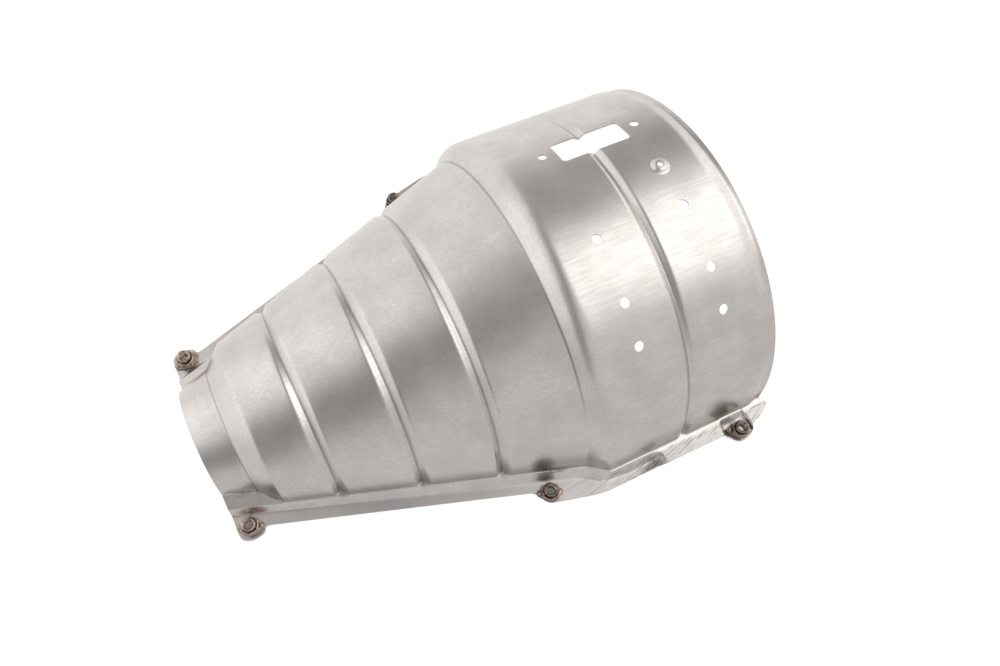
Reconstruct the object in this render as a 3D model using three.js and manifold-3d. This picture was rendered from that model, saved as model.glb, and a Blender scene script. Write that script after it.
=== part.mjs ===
// Upper half of a conical exhaust heat shield: one pressed sheet-metal half shell
// with a flange along each side and six floating anchor nuts riveted to the flanges.
// Millimetres, +X from the small end to the large end, +Y to the far flange, +Z up.

import * as THREE from 'three';
import { mergeVertices } from 'three/addons/utils/BufferGeometryUtils.js';
import Module from 'manifold-3d';

const wasm = await Module();
wasm.setup();

// ---- driving dimensions: shell ----
const LENGTH = 272;                 // flanges, end to end
const DOME_LENGTH = 269.6;          // the dome's rim stops short of the flanges' ends
const SHEET = 0.8;
const HEIGHT_RATIO = 0.87;          // height over half-width of every dome section
const COLLAR_END = 16;
const COLLAR_R = 30.3;              // half-width at the small end
const COLLAR_TAPER = 0.355;
const SHOULDER_END = 25.5;
const CONE_R = 37.6;                // half-width of the cone carried back to the small end
const CONE_TAPER = 0.33;
const CONE_END = 167;
const DRUM_START = 177;
const DRUM_R = 100;
const CONE_GROOVES = { first: 51.8, pitch: 37.7, count: 3, depth: 2.6, before: 3.3, after: 3.4 };
const DRUM_GROOVE = { at: 220.6, depth: 2, before: 3.1, after: 2.6 };
const END_CHAMFER_START = 261.5;
const END_CREASE = { at: 267.2, r: 98.3 };
const RIM_R = 98.9;
const LIP = 1.3;                    // rounding where a groove leaves the surface
const LIP_DROP = 0.5;
const STEP_EASE = { foot: 4, footRise: 0.6, top: 3, topRise: 0.9 };   // rounded step up to the drum

// ---- driving dimensions: flange ----
const LEDGE_HEIGHT = 4;             // top of the sloped band between wall and flange
const SHELF_SLOPE = 0.15;           // rise of the shelf under the collar, towards the wall
const FLANGE_REACH = 120;           // blank half-width before the outline is trimmed
const RAISED_FROM = 206;            // the flange steps up to the ledge towards the large end
const RAMP = 4.5;
const POCKET = { from: 241.5, firstWall: 2.5, to: 257.7, lastWall: 0.8, floor: 2, top: 100.9 };
const POCKET_START = POCKET.from + POCKET.firstWall;
const POCKET_END = POCKET.to - POCKET.lastWall;

// half-widths of the band's top and foot, and of the trimmed outline, as [x, half-width]
const BAND_TOP = [
  [0, 37.4], [168, 93.4], [178, 101], [201.5, 101], [206, 102.2], [POCKET.from, 102.2],
  [POCKET_START, POCKET.top], [POCKET_END, POCKET.top], [POCKET.to, 102.2], [LENGTH, 102.2],
];
const BAND_FOOT = [[0, 39.8], [164, 95.9], [172, 102], [186, 104], [LENGTH, 104]];
const STRIP_EDGE = { start: 46.7, taper: 0.334 };
const WIDE_EDGE = 109;
const LOW_EDGE = 108.1;             // before the flange steps up
const EAR = { reach: 6.4, margin: 5.6 };        // rounded ears that carry the nuts
const TAB = { bend: 263, bendWidth: 108.6, end: 269, endWidth: 105.4, tip: 103.8, inner: 101.5 };

// ---- driving dimensions: holes ----
const HOLE_R = 2.4;
const HOLE_ROWS = [197, 242.4];
const HOLE_ANGLES = [101.3, 119.2, 131.5];    // section angle, 90 at the crown, 180 at the near side
const WINDOW = { at: 222.5, length: 36.5, width: 14.4, corner: 2, angle: 71.9 };
const WINDOW_BOLTS = { spread: 25, r: 2.2, angle: 71.3 };
const BOSS = { at: 242.4, angle: 88.6, r: 4.8, top: 2.4, height: 1.3, hole: 1.4 };   // raised, holed in its top

// ---- driving dimensions: anchor nuts ----
const NUTS = [
  { name: 'a', x: 6.5, halfWidth: 48.8, turn: 18.5, seat: 0 },
  { name: 'b', x: 145.3, halfWidth: 96.3, turn: 18.5, seat: 0 },
  { name: 'c', x: 250.5, halfWidth: 109.8, turn: 27, seat: POCKET.floor },
];
const LUG = { spacing: 9.8, r: 1.7 };
const BASE_THICK = 0.8;
const CAGE = { flats: 8.6, wall: 0.55, top: 4.1, mouth: 3.95, bore: 2.9, window: 1.9 };
const CROWN = { r: 3.4, top: 6.4, bore: 2.15, chamfer: 0.5 };
const NUT_FOOT = { flats: 6.4, top: 3 };
const RIVET = { shank: 0.8, head: 1.1, headHeight: 0.6, flush: 1.35 };
const SCREW_HOLE = 2.8;
const GAP = 0.3;
const SEAT_GAP = 0.2;               // between faces that rest on each other

const STEEL = { color: 0xc4c0bb, metalness: 1.0, roughness: 0.38 };
const BRONZED = { color: 0x6e5a4c, metalness: 1.0, roughness: 0.4 };
const RIVET_STEEL = { color: 0x8f8a84, metalness: 1.0, roughness: 0.35 };

// ---- helpers ----
function asSolid(geometry) {
  const bare = geometry.clone();
  bare.deleteAttribute('normal');
  bare.deleteAttribute('uv');
  const merged = mergeVertices(bare, 1e-4);
  return new wasm.Manifold(new wasm.Mesh({
    numProp: 3,
    vertProperties: new Float32Array(merged.attributes.position.array),
    triVerts: new Uint32Array(merged.index.array),
  }));
}

function asGeometry(solid) {
  const mesh = solid.getMesh();
  const geometry = new THREE.BufferGeometry();
  geometry.setAttribute('position', new THREE.BufferAttribute(mesh.vertProperties, 3));
  geometry.setIndex(new THREE.BufferAttribute(mesh.triVerts, 1));
  geometry.computeVertexNormals();
  return geometry;
}

// value at x of a line through [x, value] points
function along(points, x) {
  for (let i = 1; i < points.length; i += 1) {
    const [x0, v0] = points[i - 1];
    const [x1, v1] = points[i];
    if (x <= x1) return v0 + (v1 - v0) * (x - x0) / (x1 - x0);
  }
  return points[points.length - 1][1];
}

// upright solid of revolution from [radius, z] points that start and end on the axis
function turned(points, segments) {
  const profile = points.map(([r, z]) => new THREE.Vector2(r, z));
  return new THREE.LatheGeometry(profile, segments).rotateX(Math.PI / 2);
}

// upright prism from a shape, between two heights
function prism(shape, low, high, curveSegments = 8) {
  const options = { depth: high - low, bevelEnabled: false, curveSegments };
  return new THREE.ExtrudeGeometry(shape, options).translate(0, 0, low);
}

function drill(radius, low, high, segments = 20) {
  return new THREE.CylinderGeometry(radius, radius, high - low, segments)
    .rotateX(Math.PI / 2)
    .translate(0, 0, (low + high) / 2);
}

// ---- shell: profile along the axis ----
const coneR = (x) => CONE_R + CONE_TAPER * x;

function grooveProfile(centre, groove, radiusAt) {
  const start = centre - groove.before;
  const end = centre + groove.after;
  return [
    [start - LIP, radiusAt(start - LIP)],
    [start + LIP / 2, radiusAt(start) - LIP_DROP],
    [centre, radiusAt(centre) - groove.depth],
    [end - LIP / 2, radiusAt(end) - LIP_DROP],
    [end + LIP, radiusAt(end + LIP)],
  ];
}

function shellProfile() {
  const points = [
    [0, COLLAR_R],
    [COLLAR_END, COLLAR_R + COLLAR_TAPER * COLLAR_END],
    [SHOULDER_END - 1.8, coneR(SHOULDER_END) - 2],
    [SHOULDER_END, coneR(SHOULDER_END) - 0.4],
    [SHOULDER_END + 2.5, coneR(SHOULDER_END + 2.5)],
  ];
  for (let i = 0; i < CONE_GROOVES.count; i += 1) {
    const centre = CONE_GROOVES.first + i * CONE_GROOVES.pitch;
    points.push(...grooveProfile(centre, CONE_GROOVES, coneR));
  }
  const rise = DRUM_R - coneR(CONE_END);
  points.push([CONE_END, coneR(CONE_END)]);
  points.push([CONE_END + STEP_EASE.foot, coneR(CONE_END) + rise * STEP_EASE.footRise]);
  points.push([DRUM_START - STEP_EASE.top, coneR(CONE_END) + rise * STEP_EASE.topRise]);
  points.push([DRUM_START, DRUM_R]);
  points.push(...grooveProfile(DRUM_GROOVE.at, DRUM_GROOVE, () => DRUM_R));
  points.push([END_CHAMFER_START, DRUM_R]);
  points.push([END_CREASE.at, END_CREASE.r]);
  points.push([DOME_LENGTH, RIM_R]);
  points.push([LENGTH, RIM_R]);
  return points;
}

const PROFILE = shellProfile();

// height of the flange's top face: it steps up near the large end, and dips in the nut's pocket
const FLANGE_TOP = [
  [0, 0],
  [RAISED_FROM - RAMP, 0],
  [RAISED_FROM, LEDGE_HEIGHT],
  [POCKET.from, LEDGE_HEIGHT],
  [POCKET_START, POCKET.floor],
  [POCKET_END, POCKET.floor],
  [POCKET.to, LEDGE_HEIGHT],
  [LENGTH, LEDGE_HEIGHT],
];

function stations() {
  const fromTables = [PROFILE, FLANGE_TOP, BAND_TOP, BAND_FOOT].flat().map(([x]) => x);
  const sorted = [...fromTables].sort((p, q) => p - q);
  const kept = [sorted[0]];
  for (const x of sorted) {
    if (x - kept[kept.length - 1] > 0.7) kept.push(x);
  }
  kept[kept.length - 1] = LENGTH;
  return kept;
}

// one half of the section at x, from the flange's outer edge up to the crown
const WALL_STEPS = 13;

function halfSection(x) {
  const r = along(PROFILE, x);
  const bandTop = along(BAND_TOP, x);
  const wallFoot = Math.min(r, bandTop - 0.5);
  const footHeight = LEDGE_HEIGHT + SHELF_SLOPE * (bandTop - wallFoot);
  const start = Math.asin(footHeight / (HEIGHT_RATIO * r));
  const points = [
    [FLANGE_REACH, along(FLANGE_TOP, x)],
    [along(BAND_FOOT, x), along(FLANGE_TOP, x)],
    [bandTop, LEDGE_HEIGHT],
  ];
  for (let i = 0; i <= WALL_STEPS; i += 1) {
    const angle = start + (Math.PI / 2 - start) * i / WALL_STEPS;
    points.push([Math.min(r * Math.cos(angle), wallFoot), HEIGHT_RATIO * r * Math.sin(angle)]);
  }
  return points;
}

function section(x) {
  const half = halfSection(x);
  const near = half.map(([w, z]) => new THREE.Vector3(x, -w, z));
  const far = half.slice(0, -1).reverse().map(([w, z]) => new THREE.Vector3(x, w, z));
  return [...near, ...far];
}

// closed sheet: the outer surface and the same grid moved in by the sheet's thickness
function sheet() {
  const xs = stations();
  const rows = xs.map(section);
  const across = rows[0].length;
  // offset that keeps the thickness across a crease: faces meeting at the point, mitred
  const offsetAt = (i, j) => {
    const here = rows[i][j];
    const faces = [];
    for (const [p, q] of [[rows[i][j - 1], here], [here, rows[i][j + 1]]]) {
      for (const [near, next] of [[rows[i - 1], rows[i]], [rows[i], rows[i + 1]]]) {
        if (!p || !q || !near || !next) continue;
        const lengthwise = next[j].clone().sub(near[j]);
        faces.push(lengthwise.cross(q.clone().sub(p)).normalize());
      }
    }
    const sum = new THREE.Vector3();
    for (const face of faces) sum.add(face);
    if (i === 0 || i === rows.length - 1) sum.x = 0;
    sum.normalize();
    const reach = faces.reduce((total, face) => total + face.dot(sum), 0) / faces.length;
    return sum.multiplyScalar(-SHEET / reach);
  };
  const outer = [];
  const inner = [];
  rows.forEach((row, i) => row.forEach((point, j) => {
    outer.push(point);
    inner.push(point.clone().add(offsetAt(i, j)));
  }));
  const count = outer.length;
  const indices = [];
  const quad = (a, b, c, d) => indices.push(a, b, c, a, c, d);
  for (let i = 0; i < rows.length - 1; i += 1) {
    for (let j = 0; j < across - 1; j += 1) {
      const a = i * across + j;
      const b = a + across;
      quad(a, b, b + 1, a + 1);
      quad(count + a, count + a + 1, count + b + 1, count + b);
    }
    const left = i * across;
    const right = left + across - 1;
    quad(left, count + left, count + left + across, left + across);
    quad(right, right + across, count + right + across, count + right);
  }
  const last = (rows.length - 1) * across;
  for (let j = 0; j < across - 1; j += 1) {
    quad(j, j + 1, count + j + 1, count + j);
    quad(last + j, count + last + j, count + last + j + 1, last + j + 1);
  }
  const geometry = new THREE.BufferGeometry();
  const positions = [...outer, ...inner].flatMap((v) => [v.x, v.y, v.z]);
  geometry.setAttribute('position', new THREE.Float32BufferAttribute(positions, 3));
  geometry.setIndex(indices);
  return asSolid(geometry);
}

// ---- shell: plan outline of the flanges ----
function sideOutline(shape, side) {
  const [a, b, c] = NUTS;
  const strip = (x) => STRIP_EDGE.start + STRIP_EDGE.taper * x;
  const ear = EAR.reach;
  const { margin } = EAR;
  const point = (x, w) => [x, side * w];
  shape.lineTo(...point(0, a.halfWidth + 1.5));
  shape.quadraticCurveTo(...point(0.2, a.halfWidth + ear - 0.6), ...point(a.x - 1, a.halfWidth + ear));
  shape.quadraticCurveTo(...point(a.x + ear - 0.6, a.halfWidth + ear), ...point(a.x + ear - 0.4, a.halfWidth + 3.4));
  shape.quadraticCurveTo(...point(a.x + ear, strip(a.x + ear)), ...point(a.x + ear + 3, strip(a.x + ear + 3)));
  shape.lineTo(...point(b.x - 9, strip(b.x - 9)));
  shape.quadraticCurveTo(...point(b.x - 6.5, strip(b.x - 6.5)), ...point(b.x - 5, b.halfWidth + 0.5));
  shape.quadraticCurveTo(...point(b.x - 3, b.halfWidth + 5), ...point(b.x + 1, b.halfWidth + margin));
  shape.lineTo(...point(b.x + 19, LOW_EDGE - 1.5));
  shape.quadraticCurveTo(...point(b.x + 25, LOW_EDGE), ...point(b.x + 31, LOW_EDGE));
  shape.lineTo(...point(RAISED_FROM - RAMP, LOW_EDGE));
  shape.lineTo(...point(RAISED_FROM, WIDE_EDGE));
  shape.lineTo(...point(c.x - 10, WIDE_EDGE));
  shape.quadraticCurveTo(...point(c.x - 6.5, WIDE_EDGE + 0.5), ...point(c.x - 5, c.halfWidth + 3.2));
  shape.quadraticCurveTo(...point(c.x - 3, c.halfWidth + margin), ...point(c.x, c.halfWidth + margin));
  shape.quadraticCurveTo(...point(c.x + ear, c.halfWidth + margin), ...point(c.x + 8, c.halfWidth + 0.1));
  shape.lineTo(...point(TAB.bend, TAB.bendWidth));
  shape.lineTo(...point(TAB.end, TAB.endWidth));
  shape.quadraticCurveTo(...point(LENGTH, TAB.tip), ...point(LENGTH, TAB.inner));
  shape.lineTo(...point(DOME_LENGTH, DRUM_R - 0.5));
}

function planOutline() {
  const near = new THREE.Shape().moveTo(0, 0);
  sideOutline(near, -1);
  near.lineTo(DOME_LENGTH, 0);
  const far = new THREE.Shape().moveTo(0, 0);
  sideOutline(far, 1);
  far.lineTo(DOME_LENGTH, 0);
  const low = -5;
  const high = DRUM_R + 10;
  const grow = (shape) => asSolid(prism(shape, low, high));
  const middle = new THREE.BoxGeometry(DOME_LENGTH, 2, high - low);
  middle.translate(DOME_LENGTH / 2, 0, (low + high) / 2);
  return grow(near).add(grow(far)).add(asSolid(middle));
}

// ---- shell: holes ----
// puts a tool that points along +Z on the drum, at a place along the axis and a section angle
function onDrum(geometry, x, degrees) {
  const angle = THREE.MathUtils.degToRad(degrees);
  const y = DRUM_R * Math.cos(angle);
  const z = HEIGHT_RATIO * DRUM_R * Math.sin(angle);
  const lean = Math.atan2(Math.cos(angle), Math.sin(angle) / HEIGHT_RATIO);
  return geometry.rotateX(-lean).translate(x, y, z);
}

function windowTool() {
  const { length, width, corner } = WINDOW;
  const shape = new THREE.Shape();
  const x = length / 2 - corner;
  const y = width / 2 - corner;
  shape.absarc(x, y, corner, 0, Math.PI / 2);
  shape.absarc(-x, y, corner, Math.PI / 2, Math.PI);
  shape.absarc(-x, -y, corner, Math.PI, 1.5 * Math.PI);
  shape.absarc(x, -y, corner, 1.5 * Math.PI, 2 * Math.PI);
  return onDrum(prism(shape, -12, 12, 4), WINDOW.at, WINDOW.angle);
}

// section of the raised boss, with z = 0 on the drum's surface
function bossProfile() {
  const { r, top, height, hole } = BOSS;
  const skirt = r + 0.4;
  return [
    [skirt, -0.1],
    [r, 0.1],
    [top, height],
    [hole, height],
    [hole, height - SHEET],
    [top - 0.2, height - SHEET],
    [r - 0.5, 0.1 - SHEET],
    [skirt, -0.1 - SHEET],
    [skirt, -0.1],
  ];
}

function makeShell() {
  let shell = sheet().intersect(planOutline());
  for (const x of HOLE_ROWS) {
    for (const angle of HOLE_ANGLES) {
      shell = shell.subtract(asSolid(onDrum(drill(HOLE_R, -6, 6), x, angle)));
    }
  }
  shell = shell.subtract(asSolid(windowTool()));
  for (const side of [-1, 1]) {
    const { spread, r, angle } = WINDOW_BOLTS;
    shell = shell.subtract(asSolid(onDrum(drill(r, -6, 6), WINDOW.at + side * spread, angle)));
  }
  const seat = onDrum(drill(BOSS.r, -6, 3, 24), BOSS.at, BOSS.angle);
  const boss = onDrum(turned(bossProfile(), 24), BOSS.at, BOSS.angle);
  shell = shell.subtract(asSolid(seat)).add(asSolid(boss));
  for (const nut of NUTS) {
    for (const side of [-1, 1]) {
      const place = nutPlace(nut, side);
      shell = shell.subtract(asSolid(drill(SCREW_HOLE, -3, 2).applyMatrix4(place)));
      for (const end of [-1, 1]) {
        const hole = countersunkHole().translate(end * LUG.spacing / 2, 0, 0);
        shell = shell.subtract(asSolid(hole.applyMatrix4(place)));
      }
    }
  }
  return shell;
}

// ---- anchor nuts ----
// local frame of a nut: origin on the flange's top face, X along the flange's edge
function nutPlace(nut, side) {
  const turn = THREE.MathUtils.degToRad(nut.turn) * side;
  return new THREE.Matrix4().makeTranslation(nut.x, side * nut.halfWidth, nut.seat)
    .multiply(new THREE.Matrix4().makeRotationZ(turn));
}

function countersunkHole() {
  const r = RIVET.shank + GAP / 2;
  const flush = RIVET.flush + GAP / 2;
  const low = -SHEET - 1;
  const profile = [[0, low], [flush, low], [flush, -SHEET], [r, -SHEET + 0.55], [r, 2], [0, 2]];
  return turned(profile, 14);
}

// hexagon with two flats facing the lugs
function hexagon(acrossFlats) {
  const corner = acrossFlats / Math.sqrt(3);
  const corners = [0, 1, 2, 3, 4, 5].map((i) => {
    const angle = Math.PI / 6 + i * Math.PI / 3;
    return new THREE.Vector2(corner * Math.cos(angle), corner * Math.sin(angle));
  });
  return new THREE.Shape(corners);
}

const BASE_LOW = SEAT_GAP;
const BASE_TOP = BASE_LOW + BASE_THICK;

// stamped diamond base with two rivet lugs and the basket that traps the nut's foot
function makeBasket() {
  const roof = CAGE.top - CAGE.wall;
  let basket = asSolid(prism(hexagon(CAGE.flats), BASE_LOW, CAGE.top));
  const inside = hexagon(CAGE.flats - 2 * CAGE.wall);
  basket = basket.subtract(asSolid(prism(inside, BASE_TOP, roof)));
  for (const end of [-1, 1]) {
    const middle = end * LUG.spacing / 2;
    const window = new THREE.BoxGeometry(2, 2 * CAGE.window, roof - BASE_TOP);
    window.translate(end * CAGE.flats / 2, 0, (roof + BASE_TOP) / 2);
    const lug = drill(LUG.r, BASE_LOW, BASE_TOP, 16).translate(middle, 0, 0);
    const web = new THREE.BoxGeometry(LUG.spacing / 4, 2 * LUG.r, BASE_THICK);
    web.translate(end * LUG.spacing * 3 / 8, 0, (BASE_LOW + BASE_TOP) / 2);
    const hole = drill(RIVET.shank + GAP / 2, BASE_LOW - 1, BASE_TOP + 1, 12);
    hole.translate(middle, 0, 0);
    basket = basket.subtract(asSolid(window)).add(asSolid(lug)).add(asSolid(web));
    basket = basket.subtract(asSolid(hole));
  }
  basket = basket.subtract(asSolid(drill(CAGE.mouth, roof - 1, CAGE.top + 1, 24)));
  return basket.subtract(asSolid(drill(CAGE.bore, BASE_LOW - 1, BASE_TOP + 1, 16)));
}

// self-locking nut: six-sided foot inside the basket, round crown through its mouth
function makeNut() {
  const { r, top, bore, chamfer } = CROWN;
  const low = BASE_TOP + SEAT_GAP;
  const crown = asSolid(turned([
    [0, low + 0.5],
    [r - 0.6, low + 0.5],
    [r - 0.6, NUT_FOOT.top],
    [r, NUT_FOOT.top + 0.4],
    [r, top - 0.5],
    [r - 0.4, top],
    [0, top],
  ], 24));
  const hole = asSolid(turned([
    [0, low - 1],
    [bore, low - 1],
    [bore, top - chamfer],
    [bore + 2 * chamfer, top + chamfer],
    [0, top + chamfer],
  ], 16));
  const foot = asSolid(prism(hexagon(NUT_FOOT.flats), low, NUT_FOOT.top));
  return crown.add(foot).subtract(hole);
}

// flush head in the flange's underside, formed head on the lug
function makeRivet() {
  const seat = BASE_TOP + SEAT_GAP / 2;
  const low = -SHEET + 0.02;
  return turned([
    [0, low],
    [RIVET.flush, low],
    [RIVET.shank, low + 0.5],
    [RIVET.shank, seat],
    [RIVET.head, seat],
    [RIVET.head, seat + RIVET.headHeight * 0.4],
    [RIVET.head * 0.6, seat + RIVET.headHeight],
    [0, seat + RIVET.headHeight],
  ], 14);
}

// ---- assembly ----
const object = new THREE.Group();
object.position.set(-LENGTH / 2, 0, SHEET);

function addPiece(name, geometry, look, parent = object) {
  const mesh = new THREE.Mesh(geometry, new THREE.MeshStandardMaterial(look));
  mesh.name = name;
  parent.add(mesh);
}

addPiece('shell', asGeometry(makeShell()), STEEL);

for (const [side, sideName] of [[-1, 'near'], [1, 'far']]) {
  for (const nut of NUTS) {
    const place = new THREE.Group();
    place.applyMatrix4(nutPlace(nut, side));
    object.add(place);
    const tag = `${sideName}_${nut.name}`;
    addPiece(`nut_basket_${tag}`, asGeometry(makeBasket()), BRONZED, place);
    addPiece(`floating_nut_${tag}`, asGeometry(makeNut()), BRONZED, place);
    for (const [end, endName] of [[-1, 'small_end'], [1, 'large_end']]) {
      const rivet = makeRivet().translate(end * LUG.spacing / 2, 0, 0);
      addPiece(`rivet_${tag}_${endName}`, rivet, RIVET_STEEL, place);
    }
  }
}

export default object;
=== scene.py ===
"""Looks of the upper half of a conical exhaust heat shield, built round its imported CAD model.

Lengths are in millimetres and angles in degrees unless a name says otherwise. On the part, x runs
from the small end to the large end, y to the far flange, and z up from the flange's top face.
"""

import math

import bmesh
import bpy
import numpy as np
from mathutils import Matrix, Vector


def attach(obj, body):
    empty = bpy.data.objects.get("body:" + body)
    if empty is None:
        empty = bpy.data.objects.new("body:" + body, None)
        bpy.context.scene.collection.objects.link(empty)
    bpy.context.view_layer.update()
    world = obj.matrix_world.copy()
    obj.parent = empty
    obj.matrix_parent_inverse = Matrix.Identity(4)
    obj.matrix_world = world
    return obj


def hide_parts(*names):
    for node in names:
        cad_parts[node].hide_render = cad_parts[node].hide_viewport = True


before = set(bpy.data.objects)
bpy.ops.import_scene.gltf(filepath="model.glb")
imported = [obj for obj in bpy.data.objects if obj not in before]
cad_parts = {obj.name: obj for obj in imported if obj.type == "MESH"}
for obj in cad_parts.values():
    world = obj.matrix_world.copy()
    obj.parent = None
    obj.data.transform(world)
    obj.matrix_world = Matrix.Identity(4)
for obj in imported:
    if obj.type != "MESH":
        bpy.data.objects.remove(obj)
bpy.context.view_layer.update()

MM = 0.001

# ---- the shell's dimensions, as in the CAD ----
LENGTH = 272.0
DOME_LENGTH = 269.6
SHEET = 0.8
HEIGHT_RATIO = 0.87
COLLAR_R = 30.3
COLLAR_TAPER = 0.355
COLLAR_END = 16.0
SHOULDER_TOP = 25.7
CONE_R = 37.6
CONE_TAPER = 0.33
CONE_END = 167.0
STEP_TOP = 173.6
DRUM_R = 100.0
GROOVES = (51.8, 89.5, 127.2)
GROOVE_DEPTH, GROOVE_BEFORE, GROOVE_AFTER = 2.6, 3.3, 3.4
DRUM_GROOVE, DRUM_GROOVE_DEPTH, DRUM_GROOVE_BEFORE, DRUM_GROOVE_AFTER = 220.6, 2.0, 3.1, 2.6
END_CHAMFER, END_CREASE, END_CREASE_R, RIM_R = 261.5, 267.2, 98.3, 98.9
LEDGE = 4.0
SHELF_SLOPE = 0.15
RAMP_START, RAMP_END = 201.5, 206.0
EDGE_RAMP_START = 194.0             # at the outer edge the flange starts to rise earlier
# the pocket under the large end's nut: where its first wall, floor and last wall start and end
POCKET_FROM, POCKET_START, POCKET_END, POCKET_TO = 241.5, 244.0, 256.9, 257.7
POCKET_FLOOR, POCKET_BACK = 2.0, 100.9
RAISED_BAND = 102.2                 # half-width of the band's top beyond the ramp
BAND_TOP = ((0, 37.4), (168, 93.4), (178, 101), (RAMP_START, 101), (RAMP_END, RAISED_BAND),
            (POCKET_FROM, RAISED_BAND), (POCKET_START, POCKET_BACK), (POCKET_END, POCKET_BACK),
            (POCKET_TO, RAISED_BAND), (LENGTH, RAISED_BAND))
BAND_FOOT = ((0, 39.8), (164, 95.9), (172, 102), (186, 104), (LENGTH, 104))
FLANGE_TOP = ((0, 0), (RAMP_START, 0), (RAMP_END, LEDGE), (POCKET_FROM, LEDGE), (POCKET_START, POCKET_FLOOR),
              (POCKET_END, POCKET_FLOOR), (POCKET_TO, LEDGE), (LENGTH, LEDGE))
STRIP_EDGE, STRIP_TAPER = 46.7, 0.334   # the narrow flange's edge from the first nut to the middle one
LOW_EDGE, WIDE_EDGE = 108.1, 109.0      # the edge before the ramp and beyond it
EAR_REACH, EAR_MARGIN = 6.4, 5.6        # how far an ear goes past its nut, along x and outwards
TAB_BEND, TAB_END, TAB_TIP, TAB_INNER = (263, 108.6), (269, 105.4), 103.9, 102.4
HOLE_R = 2.4
HOLE_ROWS = (197.0, 242.4)
HOLE_ANGLES = (101.3, 119.2, 131.5)
WINDOW_AT, WINDOW_LENGTH, WINDOW_WIDTH, WINDOW_CORNER, WINDOW_ANGLE = 222.5, 36.5, 14.4, 2.0, 71.9
WINDOW_BOLT, WINDOW_BOLT_R, WINDOW_BOLT_ANGLE = 25.0, 2.2, 71.3
BOSS_AT, BOSS_ANGLE, BOSS_R, BOSS_TOP, BOSS_HEIGHT, BOSS_HOLE = 242.4, 88.6, 4.8, 2.4, 1.3, 1.4
SCREW_HOLE = 2.8
RIVET_HOLE = 0.95
EDGE_BREAK = 0.14                   # rounding along the sheet's cut edges
FLANGE_BEND, BAND_BEND, WALL_BEND = 1.2, 0.9, 1.0   # how far each bend of a section reaches
WALL_START = 2.4                    # height of the wall's first straight bit above the shelf
DRILL_REACH, WINDOW_REACH = 6, 12   # how far the cutting tools go each side of the drum

# ---- the anchor nuts' dimensions ----
# name, x, half-width, turn, height of the seat
NUTS = (("a", 6.5, 48.8, 18.5, 0.0), ("b", 145.3, 96.3, 18.5, 0.0), ("c", 250.5, 109.8, 27.0, POCKET_FLOOR))
LUG_SPACING = 9.8
BASE_LOW, BASE_TOP = 0.2, 1.0
CAGE_FLATS, CAGE_TOP = 8.6, 4.1
CROWN_R, CROWN_TOP, BORE_R = 3.4, 6.4, 2.15
NUT_LOW = 1.2


def row(x, y, z):
    """A point of the part in the row frame, in metres."""
    return Vector(((x - LENGTH / 2) * MM, y * MM, (z + SHEET) * MM))


def smoothstep(low, high, value):
    t = np.clip((value - low) / (high - low), 0, 1)
    return t * t * (3 - 2 * t)


def rounded(corners, steps=6):
    """Points along a line through (a, b, cut) corners, each rounded from cut before it to cut after it."""
    points = np.array([corner[:2] for corner in corners], float)
    out = [points[0]]
    for i in range(1, len(points) - 1):
        before = points[i] - points[i - 1]
        after = points[i + 1] - points[i]
        cut = min(corners[i][2], 0.48 * np.linalg.norm(before), 0.48 * np.linalg.norm(after))
        start = points[i] - before / np.linalg.norm(before) * cut
        end = points[i] + after / np.linalg.norm(after) * cut
        for k in range(steps + 1):
            t = k / steps
            out.append((1 - t) ** 2 * start + 2 * t * (1 - t) * points[i] + t * t * end)
    out.append(points[-1])
    return np.array(out)


def cone_r(x):
    return CONE_R + CONE_TAPER * x


def profile():
    """Half-width of the dome along x, with every crease rounded."""
    corners = [(0, COLLAR_R, 0), (COLLAR_END, COLLAR_R + COLLAR_TAPER * COLLAR_END, 0.5)]
    corners.append((SHOULDER_TOP, cone_r(SHOULDER_TOP), 1.2))
    for at in GROOVES:
        corners.append((at - GROOVE_BEFORE, cone_r(at - GROOVE_BEFORE), 0.9))
        corners.append((at, cone_r(at) - GROOVE_DEPTH, 0.35))
        corners.append((at + GROOVE_AFTER, cone_r(at + GROOVE_AFTER), 1.0))
    corners.append((CONE_END, cone_r(CONE_END), 0.4))
    corners.append((STEP_TOP, DRUM_R, 4.6))
    corners.append((DRUM_GROOVE - DRUM_GROOVE_BEFORE, DRUM_R, 0.9))
    corners.append((DRUM_GROOVE, DRUM_R - DRUM_GROOVE_DEPTH, 0.35))
    corners.append((DRUM_GROOVE + DRUM_GROOVE_AFTER, DRUM_R, 0.9))
    corners.append((END_CHAMFER, DRUM_R, 1.4))
    corners.append((END_CREASE, END_CREASE_R, 0.8))
    corners.append((DOME_LENGTH, RIM_R, 0))
    return rounded(corners)


def quad(start, control, end, steps=8):
    """Points of a quadratic curve, without its start."""
    p, q, r = (np.array(v, float) for v in (start, control, end))
    return [(1 - t) ** 2 * p + 2 * t * (1 - t) * q + t * t * r for t in np.linspace(0, 1, steps + 1)[1:]]


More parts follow.
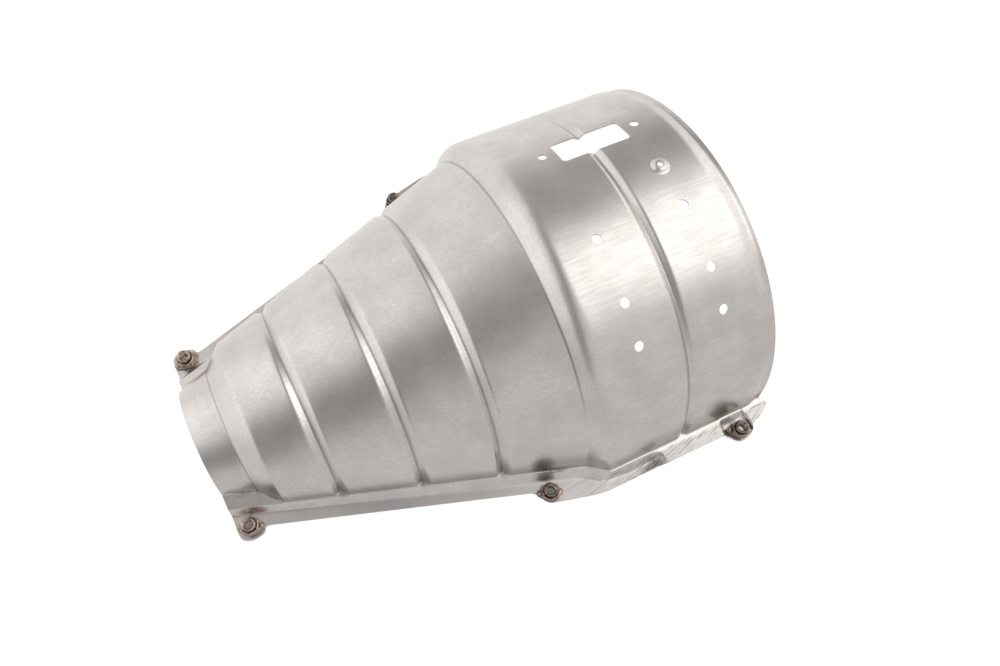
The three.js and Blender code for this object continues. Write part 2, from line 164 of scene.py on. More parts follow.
def flange_outline():
    """Half-width of the flange's cut edge along x."""
    (_, ax, aw, _, _), (_, bx, bw, _, _), (_, cx, cw, _, _) = NUTS
    strip = lambda x: STRIP_EDGE + STRIP_TAPER * x
    ear = EAR_REACH
    line = [np.array((0, aw + 1.5))]

    def curve(control, end):
        line.extend(quad(line[-1], control, end))

    curve((0.2, aw + ear - 0.6), (ax - 1, aw + ear))
    curve((ax + ear - 0.6, aw + ear), (ax + ear - 0.4, aw + 3.4))
    curve((ax + ear, strip(ax + ear)), (ax + ear + 3, strip(ax + ear + 3)))
    line.append(np.array((bx - 9, strip(bx - 9))))
    curve((bx - 6.5, strip(bx - 6.5)), (bx - 5, bw + 0.5))
    curve((bx - 3, bw + 5), (bx + 1, bw + EAR_MARGIN))
    line.append(np.array((bx + 19, LOW_EDGE - 1.5)))
    curve((bx + 25, LOW_EDGE), (bx + 31, LOW_EDGE))
    line.append(np.array((RAMP_START, LOW_EDGE)))
    line.append(np.array((RAMP_END, WIDE_EDGE)))
    line.append(np.array((cx - 10, WIDE_EDGE)))
    curve((cx - 6.5, WIDE_EDGE + 0.5), (cx - 5, cw + 3.2))
    curve((cx - 3, cw + EAR_MARGIN), (cx, cw + EAR_MARGIN))
    curve((cx + ear, cw + EAR_MARGIN), (cx + 8, cw + 0.1))
    line.append(np.array(TAB_BEND))
    line.append(np.array(TAB_END))
    curve((LENGTH - 0.2, TAB_TIP), (LENGTH, TAB_INNER))
    return np.array(line)


PROFILE = profile()
OUTLINE = flange_outline()
FLANGE_LINE = rounded([(x, z, 1.1) for x, z in FLANGE_TOP])
EDGE_LINE = rounded([(EDGE_RAMP_START if x == RAMP_START else x, z, 3.0 if x <= RAMP_END else 1.1)
                     for x, z in FLANGE_TOP])


def stations():
    """The x of every row of the shell's grid: close at creases, 2.2 apart elsewhere."""
    wanted = np.concatenate([PROFILE[:, 0], OUTLINE[:, 0], FLANGE_LINE[:, 0],
                             np.arange(BOSS_AT - 6.5, BOSS_AT + 6.5, 0.55), np.arange(0, LENGTH, 2.2)])
    wanted = np.sort(wanted)
    kept = [0.0]
    for x in wanted:
        if x - kept[-1] > 0.16:
            kept.append(float(x))
    kept = [x for x in kept if abs(x - DOME_LENGTH) > 0.12 and x < LENGTH - 0.1]
    return np.array(sorted(kept + [DOME_LENGTH, LENGTH]))


FLANGE_COLUMNS = 5
FILLET = 6
WALL_STEPS = 46


def bend(corner, towards_before, towards_after, cut):
    """Rounded corner of every section at once: arrays of rows by fillet points by 2."""
    before = towards_before - corner
    after = towards_after - corner
    lb = np.linalg.norm(before, axis=1, keepdims=True)
    la = np.linalg.norm(after, axis=1, keepdims=True)
    reach = np.minimum(cut, 0.47 * np.minimum(lb, la))
    start = corner + before / lb * reach
    end = corner + after / la * reach
    t = np.linspace(0, 1, FILLET)[None, :, None]
    return (1 - t) ** 2 * start[:, None] + 2 * t * (1 - t) * corner[:, None] + t * t * end[:, None]


def half_sections(xs):
    """Half-width and height of one half of every section, from the flange's edge up to the crown."""
    r = np.interp(xs, PROFILE[:, 0], PROFILE[:, 1])
    top = np.interp(xs, *np.array(BAND_TOP).T)
    foot = np.interp(xs, *np.array(BAND_FOOT).T)
    low = np.interp(xs, FLANGE_LINE[:, 0], FLANGE_LINE[:, 1])
    rim = np.interp(xs, EDGE_LINE[:, 0], EDGE_LINE[:, 1])
    edge = np.interp(xs, OUTLINE[:, 0], OUTLINE[:, 1])
    foot = np.minimum(foot, edge - 0.35)
    top = np.minimum(top, foot - 0.25)
    wall = np.minimum(r, top - 0.5)
    shelf = LEDGE + SHELF_SLOPE * (top - wall)
    start = np.arcsin(shelf / (HEIGHT_RATIO * r))
    pair = lambda a, b: np.stack([a, b * np.ones_like(a)], axis=1)
    p0, p1, p2 = pair(edge, rim), pair(foot, low), pair(top, LEDGE)
    p3 = np.stack([np.minimum(r * np.cos(start), wall), shelf], axis=1)
    lift = start + WALL_START / r
    p4 = np.stack([np.minimum(r * np.cos(lift), wall), HEIGHT_RATIO * r * np.sin(lift)], axis=1)
    first = bend(p1, p0, p2, FLANGE_BEND)
    t = np.linspace(0, 1, FLANGE_COLUMNS, endpoint=False)[None, :, None]
    flat = p0[:, None] * (1 - t) + first[:, :1] * t
    third = bend(p3, p2, p4, WALL_BEND)
    begin = np.arctan2(third[:, -1, 1] / HEIGHT_RATIO, third[:, -1, 0])
    even = np.linspace(0, 1, WALL_STEPS)
    fine = np.linspace(0.935, 1, 16)
    share = np.unique(np.concatenate([even[even < 0.93], fine]))[1:]
    angle = begin[:, None] + (np.pi / 2 - begin[:, None]) * share[None, :]
    arc = np.stack([np.minimum(r[:, None] * np.cos(angle), wall[:, None]),
                    HEIGHT_RATIO * r[:, None] * np.sin(angle)], axis=2)
    arc[:, -1, 0] = 0
    return np.concatenate([flat, first, bend(p2, p1, p3, BAND_BEND), third, arc], axis=1)


def drum_point(angle):
    a = math.radians(angle)
    return DRUM_R * math.cos(a), HEIGHT_RATIO * DRUM_R * math.sin(a)


def drum_matrix(x, angle):
    """Stands a tool that points along +Z on the drum, in the row frame."""
    a = math.radians(angle)
    y, z = drum_point(angle)
    lean = math.atan2(math.cos(a), math.sin(a) / HEIGHT_RATIO)
    return Matrix.Translation(row(x, y, z)) @ Matrix.Rotation(-lean, 4, "X") @ Matrix.Scale(MM, 4)


def grid_normals(points):
    along = np.gradient(points, axis=0)
    across = np.gradient(points, axis=1)
    normal = np.cross(along, across)
    return normal / np.maximum(np.linalg.norm(normal, axis=2, keepdims=True), 1e-9)


def shell_grid():
    """Rows of points on the shell's outer face, in millimetres, and which cells are sheet."""
    xs = stations()
    half = half_sections(xs)
    tab = xs > DOME_LENGTH
    shelf_end = FLANGE_COLUMNS + 2 * FILLET      # where the shelf meets the wall's fillet
    inner_edge = np.interp(xs, (DOME_LENGTH, LENGTH), (half[~tab][-1, shelf_end, 0], DRUM_R + 1.5))
    for i in np.nonzero(tab)[0]:
        outer = half[i, 0, 0]
        share = np.linspace(0, 1, shelf_end + 1)
        half[i, :shelf_end + 1, 0] = outer + (inner_edge[i] - outer) * share
        last_rise = half[~tab][-1, :shelf_end + 1, 1] - LEDGE
        half[i, :shelf_end + 1, 1] = LEDGE + last_rise * (LENGTH - xs[i]) / (LENGTH - DOME_LENGTH)
    near = np.stack([np.repeat(xs[:, None], half.shape[1], 1), -half[:, :, 0], half[:, :, 1]], axis=2)
    far = near[:, -2::-1] * np.array((1, -1, 1))
    points = np.concatenate([near, far], axis=1)
    cells = np.ones((points.shape[0] - 1, points.shape[1] - 1), bool)
    for i in range(cells.shape[0]):
        if xs[i + 1] > DOME_LENGTH:
            cells[i, shelf_end:-shelf_end] = False
    normals = grid_normals(points)
    y, z = drum_point(BOSS_ANGLE)
    distance = np.linalg.norm(points - np.array((BOSS_AT, y, z)), axis=2)
    lift = BOSS_HEIGHT * (1 - smoothstep(BOSS_TOP - 0.3, BOSS_R, distance))
    points = points + normals * lift[:, :, None]
    return points, cells


def sheet_mesh(name, points, cells):
    """Closed sheet of the shell's thickness below a grid of points, with its cut edges rounded."""
    normals = grid_normals(points)
    count = points.shape[1]
    index = lambda i, j: i * count + j
    faces = [(index(i, j), index(i + 1, j), index(i + 1, j + 1), index(i, j + 1))
             for i, j in zip(*np.nonzero(cells))]
    flat = points.reshape(-1, 3)
    normal = normals.reshape(-1, 3)
    edges = {}
    for face in faces:
        for a, b in zip(face, face[1:] + face[:1]):
            edges[(a, b)] = True
    border = [(a, b) for a, b in edges if (b, a) not in edges]
    outward = {}
    for a, b in border:
        along = flat[b] - flat[a]
        side = np.cross(along, normal[a])
        side /= max(np.linalg.norm(side), 1e-9)
        for v in (a, b):
            outward[v] = outward.get(v, 0) + side
    used = sorted({v for face in faces for v in face})
    inner = flat - normal * SHEET
    outer = flat.copy()
    vertices = []
    place = {}
    for v in used:
        shift = np.zeros(3)
        if v in outward:
            shift = outward[v] / max(np.linalg.norm(outward[v]), 1e-9) * EDGE_BREAK
        place[("outer", v)] = len(vertices)
        vertices.append(outer[v] - shift)
        place[("inner", v)] = len(vertices)
        vertices.append(inner[v] - shift)
        if v in outward:
            place[("high", v)] = len(vertices)
            vertices.append(flat[v] - normal[v] * EDGE_BREAK)
            place[("low", v)] = len(vertices)
            vertices.append(flat[v] - normal[v] * (SHEET - EDGE_BREAK))
    polygons = [tuple(place[("outer", v)] for v in face) for face in faces]
    polygons += [tuple(place[("inner", v)] for v in reversed(face)) for face in faces]
    for a, b in border:
        levels = ("outer", "high", "low", "inner")
        for upper, lower in zip(levels, levels[1:]):
            polygons.append((place[(upper, b)], place[(upper, a)], place[(lower, a)], place[(lower, b)]))
    mesh = bpy.data.meshes.new(name)
    mesh.from_pydata([row(*v) for v in vertices], [], polygons)
    mesh.validate()
    return mesh


def add_object(name, mesh):
    thing = bpy.data.objects.new(name, mesh)
    bpy.context.scene.collection.objects.link(thing)
    return thing


def lathe(bm, rings, matrix, segments=48):
    """Adds a closed turned solid. A ring is a height and a radius, or a function of the angle."""
    loops = []
    for radius, z in rings:
        if not callable(radius) and radius == 0:
            loops.append([bm.verts.new(matrix @ Vector((0, 0, z)))])
            continue
        loop = []
        for k in range(segments):
            a = 2 * math.pi * k / segments
            r = radius(a) if callable(radius) else radius
            loop.append(bm.verts.new(matrix @ Vector((r * math.cos(a), r * math.sin(a), z))))
        loops.append(loop)
    capped = len(loops[0]) == 1
    pairs = list(zip(loops, loops[1:]))
    if not capped:
        pairs.append((loops[-1], loops[0]))
    for lower, upper in pairs:
        for k in range(segments):
            n = (k + 1) % segments
            if len(lower) == 1:
                bm.faces.new((lower[0], upper[n], upper[k]))
            elif len(upper) == 1:
                bm.faces.new((lower[k], lower[n], upper[0]))
            else:
                bm.faces.new((lower[k], lower[n], upper[n], upper[k]))


def drill(bm, radius, low, high, matrix):
    lathe(bm, [(0, low), (radius, low), (radius, high), (0, high)], matrix)


def window_tool(bm, matrix):
    x = WINDOW_LENGTH / 2 - WINDOW_CORNER
    y = WINDOW_WIDTH / 2 - WINDOW_CORNER
    outline = []
    for cx, cy, start in ((x, y, 0), (-x, y, 90), (-x, -y, 180), (x, -y, 270)):
        for a in np.radians(np.linspace(start, start + 90, 9)):
            outline.append((cx + WINDOW_CORNER * math.cos(a), cy + WINDOW_CORNER * math.sin(a)))
    low = [bm.verts.new(matrix @ Vector((u, v, -WINDOW_REACH))) for u, v in outline]
    high = [bm.verts.new(matrix @ Vector((u, v, WINDOW_REACH))) for u, v in outline]
    bm.faces.new(list(reversed(low)))
    bm.faces.new(high)
    for k in range(len(outline)):
        n = (k + 1) % len(outline)
        bm.faces.new((low[k], low[n], high[n], high[k]))


def nut_matrix(nut, side):
    """From a nut's own frame, in millimetres on the flange's top face, to the row frame."""
    _, x, half_width, turn, seat = nut
    spin = Matrix.Rotation(math.radians(turn) * side, 4, "Z")
    return Matrix.Translation(row(x, side * half_width, seat)) @ spin @ Matrix.Scale(MM, 4)


def cut(target, bm):
    """Cuts the solids in bm out of the target's mesh."""
    mesh = bpy.data.meshes.new("tool")
    bmesh.ops.recalc_face_normals(bm, faces=bm.faces)
    bm.to_mesh(mesh)
    bm.free()
    tool = add_object("tool", mesh)
    modifier = target.modifiers.new("holes", "BOOLEAN")
    modifier.operation = "DIFFERENCE"
    modifier.solver = "MANIFOLD"
    modifier.object = tool
    bpy.context.view_layer.update()
    result = bpy.data.meshes.new_from_object(target.evaluated_get(bpy.context.evaluated_depsgraph_get()))
    target.modifiers.clear()
    target.data = result
    bpy.data.objects.remove(tool)


def shade(thing, angle=35):
    thing.data.polygons.foreach_set("use_smooth", [True] * len(thing.data.polygons))
    thing.data.set_sharp_from_angle(angle=math.radians(angle))


def make_shell():
    shell = add_object("shield_sheet", sheet_mesh("shield_sheet", *shell_grid()))
    tools = bmesh.new()
    for x in HOLE_ROWS:
        for angle in HOLE_ANGLES:
            drill(tools, HOLE_R, -DRILL_REACH, DRILL_REACH, drum_matrix(x, angle))
    window_tool(tools, drum_matrix(WINDOW_AT, WINDOW_ANGLE))
    for side in (-1, 1):
        bolt = drum_matrix(WINDOW_AT + side * WINDOW_BOLT, WINDOW_BOLT_ANGLE)
        drill(tools, WINDOW_BOLT_R, -DRILL_REACH, DRILL_REACH, bolt)
    drill(tools, BOSS_HOLE, -DRILL_REACH, DRILL_REACH, drum_matrix(BOSS_AT, BOSS_ANGLE))
    for nut in NUTS:
        for side in (-1, 1):
            place = nut_matrix(nut, side)
            drill(tools, SCREW_HOLE, -3, 2, place)
            for end in (-1, 1):
                seat = place @ Matrix.Translation((end * LUG_SPACING / 2, 0, 0))
                countersunk = [(0, -1.8), (1.5, -1.8), (1.5, -SHEET), (RIVET_HOLE, -0.25),
                               (RIVET_HOLE, 2), (0, 2)]
                lathe(tools, countersunk, seat, 24)
    cut(shell, tools)
    shade(shell)
    return shell


# ---- anchor nuts ----
def hexagon(flats, corner):
    """Radius of a hexagon with rounded corners, two flats facing the lugs."""
    def radius(a):
        off = (a + math.pi / 6) % (math.pi / 3) - math.pi / 6
        return min(flats / 2 / math.cos(off), corner)
    return radius


def diamond(middle, lug, spacing):
    """Radius of the base plate: a round middle and two round lugs in one taut outline."""
    directions = np.linspace(0, 2 * math.pi, 720, endpoint=False)
    support = np.maximum(middle, spacing / 2 * np.abs(np.cos(directions)) + lug)

    def radius(a):
        facing = np.cos(a - directions)
        ahead = facing > 0.05
        return float(np.min(support[ahead] / facing[ahead]))
    return radius


def finish_piece(name, bm, angle=40):
    mesh = bpy.data.meshes.new(name)
    bmesh.ops.recalc_face_normals(bm, faces=bm.faces)
    bm.to_mesh(mesh)
    bm.free()
    thing = add_object(name, mesh)
    shade(thing, angle)
    return thing


def make_basket(name, place):
    bm = bmesh.new()
    plate = diamond(4.55, 1.85, LUG_SPACING)
    less = lambda a: plate(a) - 0.18
    wall = lambda inset: hexagon(CAGE_FLATS - 2 * inset, 4.7 - inset)
    inside = hexagon(7.7, 4.2)
    rings = [
        (2.9, BASE_LOW), (2.9, BASE_TOP), (inside, BASE_TOP), (inside, CAGE_TOP - 0.5),
        (3.86, CAGE_TOP - 0.5), (3.82, CAGE_TOP - 0.12), (3.95, CAGE_TOP), (wall(0.32), CAGE_TOP),
        (wall(0.08), CAGE_TOP - 0.14), (wall(0), CAGE_TOP - 0.4), (wall(0), BASE_TOP + 0.35),
        (wall(-0.12), BASE_TOP + 0.1), (wall(-0.3), BASE_TOP), (less, BASE_TOP), (plate, BASE_TOP - 0.18),
        (plate, BASE_LOW + 0.12), (less, BASE_LOW),
    ]
    lathe(bm, rings, place, 120)
    basket = finish_piece(name, bm)
    tools = bmesh.new()
    for end in (-1, 1):
        corners = [Vector((end * u, v, w)) for u in (3.2, 6.5) for v in (-1.7, 1.7)
                   for w in (BASE_TOP + 0.25, CAGE_TOP - 0.75)]
        bmesh.ops.convex_hull(tools, input=[tools.verts.new(place @ corner) for corner in corners])
    cut(basket, tools)
    shade(basket, 40)
    return basket


def make_nut(name, place):
    bm = bmesh.new()
    pitch = 0.8
    bore = [(BORE_R + 0.25, NUT_LOW)]
    z = NUT_LOW + 0.35
    while z < CROWN_TOP - 1.1:
        bore += [(BORE_R, z), (BORE_R, z + 0.12), (BORE_R + 0.34, z + 0.44), (BORE_R + 0.34, z + 0.54)]
        z += pitch
    bore += [(BORE_R, CROWN_TOP - 0.62), (BORE_R + 0.62, CROWN_TOP - 0.06), (BORE_R + 0.72, CROWN_TOP)]
    foot = hexagon(6.4, 3.55)
    low_foot = hexagon(6.0, 3.3)
    outside = [
        (CROWN_R - 0.62, CROWN_TOP), (CROWN_R - 0.3, CROWN_TOP - 0.1), (CROWN_R - 0.08, CROWN_TOP - 0.34),
        (CROWN_R, CROWN_TOP - 0.7), (CROWN_R, 3.6), (CROWN_R - 0.1, 3.3), (hexagon(6.0, 3.25), 3.0),
        (foot, 2.8), (foot, NUT_LOW + 0.2), (low_foot, NUT_LOW),
    ]
    lathe(bm, bore + outside, place, 96)
    return finish_piece(name, bm, 32)


def make_rivet(name, place):
    bm = bmesh.new()
    seat = BASE_TOP + 0.06
    rings = [
        (0, -SHEET + 0.02), (1.28, -SHEET + 0.02), (1.32, -SHEET + 0.08), (0.8, -0.28), (0.8, seat),
        (1.12, seat), (1.16, seat + 0.14), (1.06, seat + 0.36), (0.82, seat + 0.52), (0.45, seat + 0.6),
        (0, seat + 0.62),
    ]
    lathe(bm, rings, place, 32)
    return finish_piece(name, bm)


# ---- materials ----
class Nodes:
    """Short names for building a node tree."""

    def __init__(self, tree):
        self.tree = tree
        tree.nodes.clear()

    def add(self, kind, inputs=None, **settings):
        node = self.tree.nodes.new(kind)
        for key, value in settings.items():
            setattr(node, key, value)
        for key, value in (inputs or {}).items():
            self.feed(node.inputs[key], value)
        return node

    def feed(self, socket, value):
        if isinstance(value, bpy.types.NodeSocket):
            self.tree.links.new(value, socket)
        else:
            socket.default_value = value

    def math(self, operation, a, b):
        return self.add("ShaderNodeMath", {0: a, 1: b}, operation=operation).outputs[0]

    def vector(self, operation, a, b=(0, 0, 0)):
        node = self.add("ShaderNodeVectorMath", {0: a, 1: b}, operation=operation)
        return node.outputs["Value"] if operation in ("LENGTH", "DOT_PRODUCT") else node.outputs["Vector"]

    def ramp(self, value, low, high, to_low=0.0, to_high=1.0, kind="SMOOTHSTEP"):
        inputs = {"Value": value, "From Min": low, "From Max": high, "To Min": to_low, "To Max": to_high}
        return self.add("ShaderNodeMapRange", inputs, interpolation_type=kind).outputs["Result"]

    def noise(self, vector, scale, detail=2.0, roughness=0.5):
        inputs = {"Vector": vector, "Scale": scale, "Detail": detail, "Roughness": roughness}
        return self.add("ShaderNodeTexNoise", inputs).outputs[0]

    def mix(self, factor, a, b):
        node = self.add("ShaderNodeMix", data_type="RGBA")
        self.feed(node.inputs[0], factor)
        self.feed(node.inputs[6], a)
        self.feed(node.inputs[7], b)
        return node.outputs[2]

    def spot(self, position, centre, radii, edge=0.35):
        """1 inside an ellipsoid round a point of the row frame, fading to 0 at its surface."""
        away = self.vector("SUBTRACT", position, tuple(centre))
        scaled = self.vector("MULTIPLY", away, tuple(1 / (r * MM) for r in radii))
        return self.ramp(self.vector("LENGTH", scaled), edge, 1.0, 1.0, 0.0)


def total(nodes, values):
    value = values[0]
    for other in values[1:]:
        value = nodes.math("MAXIMUM", value, other)
    return value


SHEET_DARK, SHEET_PALE = (0.62, 0.592, 0.575, 1), (0.72, 0.692, 0.674, 1)
BRUSHED_LINE = (0.40, 0.385, 0.375, 1)
# brown of the heat stains, also used for the painted shade round the nuts
HEAT_STAIN_AND_SHADE = (0.20, 0.17, 0.145, 1)
# colour of the painted crease shade, with some dirt
CREASE_SHADE_AND_DIRT = (0.24, 0.215, 0.2, 1)
FILED_SHEET, FILE_STROKE = (0.50, 0.48, 0.46, 1), (0.20, 0.19, 0.18, 1)
# brown patches on both flanges: x, half-width, z and the radii
STAINS = ((9, 33.6, 5.4, (8, 2.0, 2.6)), (22, 41, 6, (5, 3.2, 3.4)), (150, 88, 5, (22, 3.2, 3.6)))
FILE_ANGLE = 14                     # the strokes' direction on the flange, from the x axis
FILED_FROM, FILED_FULL = 152, 172   # where the filed part of the flange starts


def sheet_material():
    material = bpy.data.materials.new("brushed_sheet")
    material.use_nodes = True
    nodes = Nodes(material.node_tree)
    place = nodes.add("ShaderNodeTexCoord").outputs["Object"]
    split = nodes.add("ShaderNodeSeparateXYZ", {0: place})
    x, y, z = split.outputs[0], split.outputs[1], split.outputs[2]
    # the grain runs along x, drawn out to twenty times its width
    grain_at = nodes.vector("MULTIPLY", place, (0.05, 1, 1))
    grain = nodes.noise(grain_at, 1500, 3, 0.6)
    broad_grain = nodes.noise(grain_at, 320, 3, 0.6)
    mottle = nodes.noise(place, 55, 4, 0.6)
    wave = nodes.noise(place, 26, 1, 0.4)

    # brown heat stains and dirt at the feet of the grooves and in the creases, and painted shade round the
    # nuts
    stains_and_shade = []
    for at in GROOVES + (CONE_END + 2,):
        for side in (-1, 1):
            w = cone_r(at) - 2.5
            stains_and_shade.append(nodes.spot(place, row(at + 0.6, side * w, 7), (2.6, 5, 9)))
    for side in (-1, 1):
        for at, half_width, height, radii in STAINS:
            stains_and_shade.append(nodes.spot(place, row(at, side * half_width, height), radii))
        # painted shade: a brown darkening round each nut's foot
        for nut in NUTS:
            stains_and_shade.append(nodes.spot(place, row(nut[1], side * nut[2], nut[4]), (7.2, 7.2, 1.8), 0.5))
    stain_and_shade = total(nodes, stains_and_shade)
    patchy = nodes.ramp(nodes.noise(place, 420, 3, 0.6), 0.35, 0.62, 0.25, 1.0)
    stain_and_shade = nodes.math("MULTIPLY", stain_and_shade, patchy)

    # coarse slanting file marks on the flange from the middle nut to the large end
    turned = nodes.add("ShaderNodeMapping", {"Vector": place, "Rotation": (0, 0, math.radians(FILE_ANGLE)),
                                             "Scale": (11, 1, 3)}, vector_type="TEXTURE").outputs[0]
    filed = nodes.ramp(nodes.noise(turned, 1250, 2, 0.6), 0.50, 0.64)
    outside = nodes.ramp(nodes.math("ABSOLUTE", y, 0.0), (DRUM_R + 1.2) * MM, (DRUM_R + 2.4) * MM)
    low_down = nodes.ramp(z, (LEDGE + 1.6) * MM, (LEDGE + 2.4) * MM, 1.0, 0.0)
    beyond = nodes.ramp(x, (FILED_FROM - LENGTH / 2) * MM, (FILED_FULL - LENGTH / 2) * MM)
    file_area = nodes.math("MULTIPLY", nodes.math("MULTIPLY", outside, low_down), beyond)
    filed = nodes.math("MULTIPLY", filed, file_area)

    # dark lines in the bottoms of the creases: painted crease shade, with some dirt
    lines = []
    for at, half in [(g, 0.5) for g in GROOVES] + [(CONE_END, 0.45), (COLLAR_END, 0.35)]:
        off = nodes.math("ABSOLUTE", nodes.math("SUBTRACT", x, (at - LENGTH / 2) * MM), 0.0)
        lines.append(nodes.ramp(off, half * 0.3 * MM, half * 1.6 * MM, 1.0, 0.0))
    # the painted shade at the cone's end is kept only high up, where the light lets it show
    lines[3] = nodes.math("MULTIPLY", lines[3], nodes.ramp(z, 34 * MM, 62 * MM))
    crease = nodes.math("MULTIPLY", total(nodes, lines), nodes.ramp(z, (LEDGE + 0.8) * MM, (LEDGE + 3) * MM))

    warm = nodes.mix(nodes.ramp(mottle, 0.3, 0.7), SHEET_DARK, SHEET_PALE)
    speck = nodes.noise(place, 1300, 2, 0.7)
    brushed = nodes.math("MULTIPLY", nodes.ramp(grain, 0.32, 0.68), 0.5)
    brushed = nodes.math("ADD", brushed, nodes.math("MULTIPLY", nodes.ramp(speck, 0.3, 0.7), 0.5))
    warm = nodes.mix(nodes.math("MULTIPLY", brushed, 0.42), warm, BRUSHED_LINE)
    # heat stains and dirt, with the painted shade round the nuts, all in brown
    tint = nodes.mix(nodes.math("MULTIPLY", stain_and_shade, 0.62), warm, HEAT_STAIN_AND_SHADE)
    # painted crease shade with some dirt darkens the bottoms of the creases
    tint = nodes.mix(nodes.math("MULTIPLY", crease, 0.6), tint, CREASE_SHADE_AND_DIRT)
    light = nodes.mix(nodes.math("MULTIPLY", file_area, 0.30), tint, FILED_SHEET)
    light = nodes.mix(nodes.math("MULTIPLY", filed, 0.62), light, FILE_STROKE)
    rough = nodes.ramp(grain, 0.25, 0.75, 0.25, 0.37, "LINEAR")
    rough = nodes.math("ADD", rough, nodes.math("MULTIPLY", stain_and_shade, 0.22))
    rough = nodes.math("ADD", rough, nodes.math("MULTIPLY", file_area, 0.06))

    height = nodes.math("MULTIPLY", grain, 0.35)
    height = nodes.math("ADD", height, nodes.math("MULTIPLY", broad_grain, 0.8))
    height = nodes.math("ADD", height, nodes.math("MULTIPLY", wave, 16.0))
    height = nodes.math("ADD", height, nodes.math("MULTIPLY", speck, 0.8))
    height = nodes.math("ADD", height, nodes.math("MULTIPLY", filed, -2.6))
    bump = nodes.add("ShaderNodeBump", {"Strength": 1.0, "Distance": 0.00001, "Height": height})
    inputs = {"Base Color": light, "Metallic": 1.0, "Roughness": rough, "Normal": bump.outputs[0]}
    shader = nodes.add("ShaderNodeBsdfPrincipled", inputs)
    nodes.add("ShaderNodeOutputMaterial", {"Surface": shader.outputs[0]})
    return material


def bronze_material(name, light, dark, rough):
    """Heat-tinted steel: the colour drifts in patches, with small pits."""
    material = bpy.data.materials.new(name)
    material.use_nodes = True
    nodes = Nodes(material.node_tree)
    place = nodes.add("ShaderNodeTexCoord").outputs["Object"]
    patches = nodes.ramp(nodes.noise(place, 420, 4, 0.6), 0.34, 0.66)
    speck = nodes.noise(place, 2600, 3, 0.6)
    colour = nodes.mix(patches, light, dark)
    roughness = nodes.ramp(speck, 0.3, 0.7, rough - 0.06, rough + 0.1, "LINEAR")
    bump = nodes.add("ShaderNodeBump", {"Strength": 0.6, "Distance": 0.00003, "Height": speck})
    inputs = {"Base Color": colour, "Metallic": 1.0, "Roughness": roughness, "Normal": bump.outputs[0]}
    shader = nodes.add("ShaderNodeBsdfPrincipled", inputs)
    nodes.add("ShaderNodeOutputMaterial", {"Surface": shader.outputs[0]})
    return material


def finish_with(thing, material):
    thing.data.materials.clear()
    thing.data.materials.append(material)


sheet_look = sheet_material()
copper_look = bronze_material("copper_tint", (0.50, 0.40, 0.33, 1), (0.36, 0.28, 0.235, 1), 0.27)
bronze_look = bronze_material("bronze_tint", (0.33, 0.265, 0.22, 1), (0.20, 0.16, 0.135, 1), 0.27)
rivet_look = bronze_material("rivet_tint", (0.50, 0.45, 0.41, 1), (0.34, 0.29, 0.26, 1), 0.3)

shell = make_shell()
finish_with(shell, sheet_look)
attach(shell, "shield")
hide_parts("shell")

for side, side_name in ((-1, "near"), (1, "far")):
    for nut in NUTS:
        tag = f"{side_name}_{nut[0]}"
        place = nut_matrix(nut, side)
        look = copper_look if nut[0] == "a" else bronze_look
        basket = make_basket(f"basket_{tag}", place)
        finish_with(basket, look)
        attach(basket, "shield")
        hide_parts(f"nut_basket_{tag}")
        body = make_nut(f"anchor_nut_{tag}", place)
        finish_with(body, look)
        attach(body, f"nut_{tag}")
        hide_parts(f"floating_nut_{tag}")
        for end, end_name in ((-1, "small_end"), (1, "large_end")):
            seat = place @ Matrix.Translation((end * LUG_SPACING / 2, 0, 0))
            rivet = make_rivet(f"rivet_head_{tag}_{end_name}", seat)
            finish_with(rivet, rivet_look)
            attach(rivet, "shield")
            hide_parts(f"rivet_{tag}_{end_name}")


# ---- studio ----
def direction(azimuth, elevation):
    a, e = math.radians(azimuth), math.radians(elevation)
    return math.cos(e) * math.cos(a), math.cos(e) * math.sin(a), math.sin(e)


NEAR_LIGHT = 0.76                   # plain light from the near side, and from the far side
FAR_LIGHT = 1.06
# soft lights: azimuth, elevation, where full and where gone in degrees from the middle, strength
SOFT_LIGHTS = (
    (-12, 58, 7, 29, 1.08),
    (8, 22, 14, 38, 0.45),
    (158, 28, 14, 40, 0.34),
)
DARK_TURN = -45                     # the dark gap overhead between the lights: its plane's normal
DARK_OFFSET = -0.12
DARK_HALF, DARK_EDGE = 0.10, 0.36
DARK_DEPTH = 0.66


def make_world():
    world = bpy.data.worlds.new("studio")
    world.use_nodes = True
    nodes = Nodes(world.node_tree)
    look = nodes.add("ShaderNodeTexCoord").outputs["Generated"]
    split = nodes.add("ShaderNodeSeparateXYZ", {0: look})
    light = nodes.ramp(split.outputs[1], -0.45, 0.45, NEAR_LIGHT, FAR_LIGHT)
    gap = nodes.vector("DOT_PRODUCT", look, direction(DARK_TURN, 0))
    gap = nodes.math("ABSOLUTE", nodes.math("SUBTRACT", gap, DARK_OFFSET), 0.0)
    gap = nodes.ramp(gap, DARK_HALF, DARK_EDGE, DARK_DEPTH, 0.0)
    gap = nodes.math("MULTIPLY", gap, nodes.ramp(split.outputs[2], 0.05, 0.45))
    light = nodes.math("MULTIPLY", light, nodes.math("SUBTRACT", 1.0, gap))
    for azimuth, elevation, full, gone, strength in SOFT_LIGHTS:
        facing = nodes.vector("DOT_PRODUCT", look, direction(azimuth, elevation))
        glow = nodes.ramp(facing, math.cos(math.radians(gone)), math.cos(math.radians(full)), 0.0, strength)
        light = nodes.math("ADD", light, glow)
    background = nodes.add("ShaderNodeBackground", {"Color": (1.0, 0.985, 0.97, 1), "Strength": light})
    nodes.add("ShaderNodeOutputWorld", {"Surface": background.outputs[0]})
    bpy.context.scene.world = world


DOME_REACH = 4                      # metres
DOME_SEGMENTS = 96


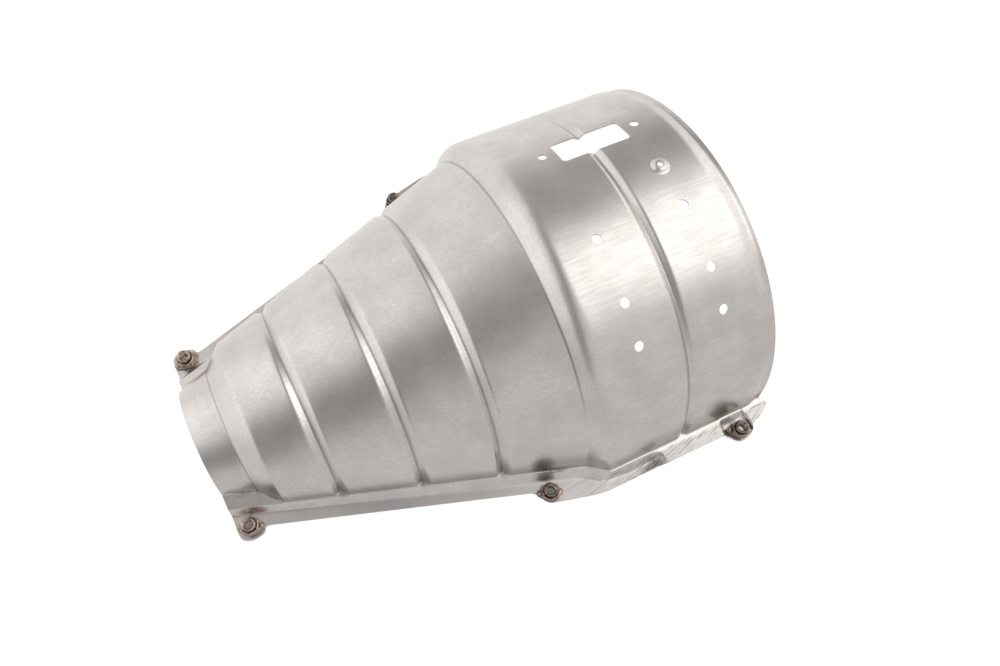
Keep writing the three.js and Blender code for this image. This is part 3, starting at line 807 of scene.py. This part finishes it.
def make_studio():
    """Pale floor that curves up into a dome all round. Only the camera sees it. It glows, and the glow is
    dimmed where the part closes over it: a painted contact shadow.
    """
    bm = bmesh.new()
    rings = [(r, 0) for r in (0, 0.4, 1.0, 2.0, 3.0)]
    for a in np.radians((12, 25, 40, 55, 70, 82)):
        rings.append((DOME_REACH * math.cos(a), DOME_REACH * math.sin(a)))
    loops = []
    for radius, z in rings:
        if radius == 0:
            loops.append([bm.verts.new((0, 0, z))])
        else:
            loops.append([bm.verts.new((radius * math.cos(a), radius * math.sin(a), z))
                          for a in np.linspace(0, 2 * math.pi, DOME_SEGMENTS, endpoint=False)])
    top = bm.verts.new((0, 0, DOME_REACH))
    for inner, outer in zip(loops, loops[1:]):
        for k in range(DOME_SEGMENTS):
            n = (k + 1) % DOME_SEGMENTS
            if len(inner) == 1:
                bm.faces.new((inner[0], outer[k], outer[n]))
            else:
                bm.faces.new((inner[k], outer[k], outer[n], inner[n]))
    for k in range(DOME_SEGMENTS):
        bm.faces.new((loops[-1][k], top, loops[-1][(k + 1) % DOME_SEGMENTS]))
    mesh = bpy.data.meshes.new("studio_floor")
    bm.to_mesh(mesh)
    bm.free()
    floor = add_object("studio_floor", mesh)
    floor.location.z = -0.6 * MM
    shade(floor, 60)
    material = bpy.data.materials.new("glowing_floor_painted_shadow")
    material.use_nodes = True
    nodes = Nodes(material.node_tree)
    paper = nodes.add("ShaderNodeBsdfDiffuse", {"Color": (0.30, 0.30, 0.30, 1)})
    # painted contact shadow: the floor's glow fades where the part covers it
    open_sky = nodes.add("ShaderNodeAmbientOcclusion", {"Distance": 0.008}, samples=8).outputs["AO"]
    glow_with_painted_shadow = nodes.ramp(open_sky, 0.12, 0.42, 0.08, 0.86)
    glow = nodes.add("ShaderNodeEmission", {"Color": (1, 1, 1, 1), "Strength": glow_with_painted_shadow})
    both = nodes.add("ShaderNodeAddShader", {0: paper.outputs[0], 1: glow.outputs[0]})
    nodes.add("ShaderNodeOutputMaterial", {"Surface": both.outputs[0]})
    floor.data.materials.append(material)
    floor.visible_glossy = False
    floor.visible_diffuse = False
    floor.visible_shadow = False


CAMERA_PLACE = (-0.0788, -0.1605, 0.3497)   # metres
CAMERA_TURN = (21.322, -3.004, -26.339)
LENS, SENSOR_WIDTH = 25.99, 36
LENS_SHIFT = (0.0143, 0.0850)


def make_camera():
    data = bpy.data.cameras.new("camera")
    data.sensor_width = SENSOR_WIDTH
    data.lens = LENS
    data.shift_x, data.shift_y = LENS_SHIFT
    data.clip_start = 0.01
    camera = add_object("camera", data)
    camera.location = CAMERA_PLACE
    camera.rotation_euler = [math.radians(angle) for angle in CAMERA_TURN]
    bpy.context.scene.camera = camera


make_world()
make_studio()
make_camera()
bpy.context.scene.view_settings.view_transform = "Standard"
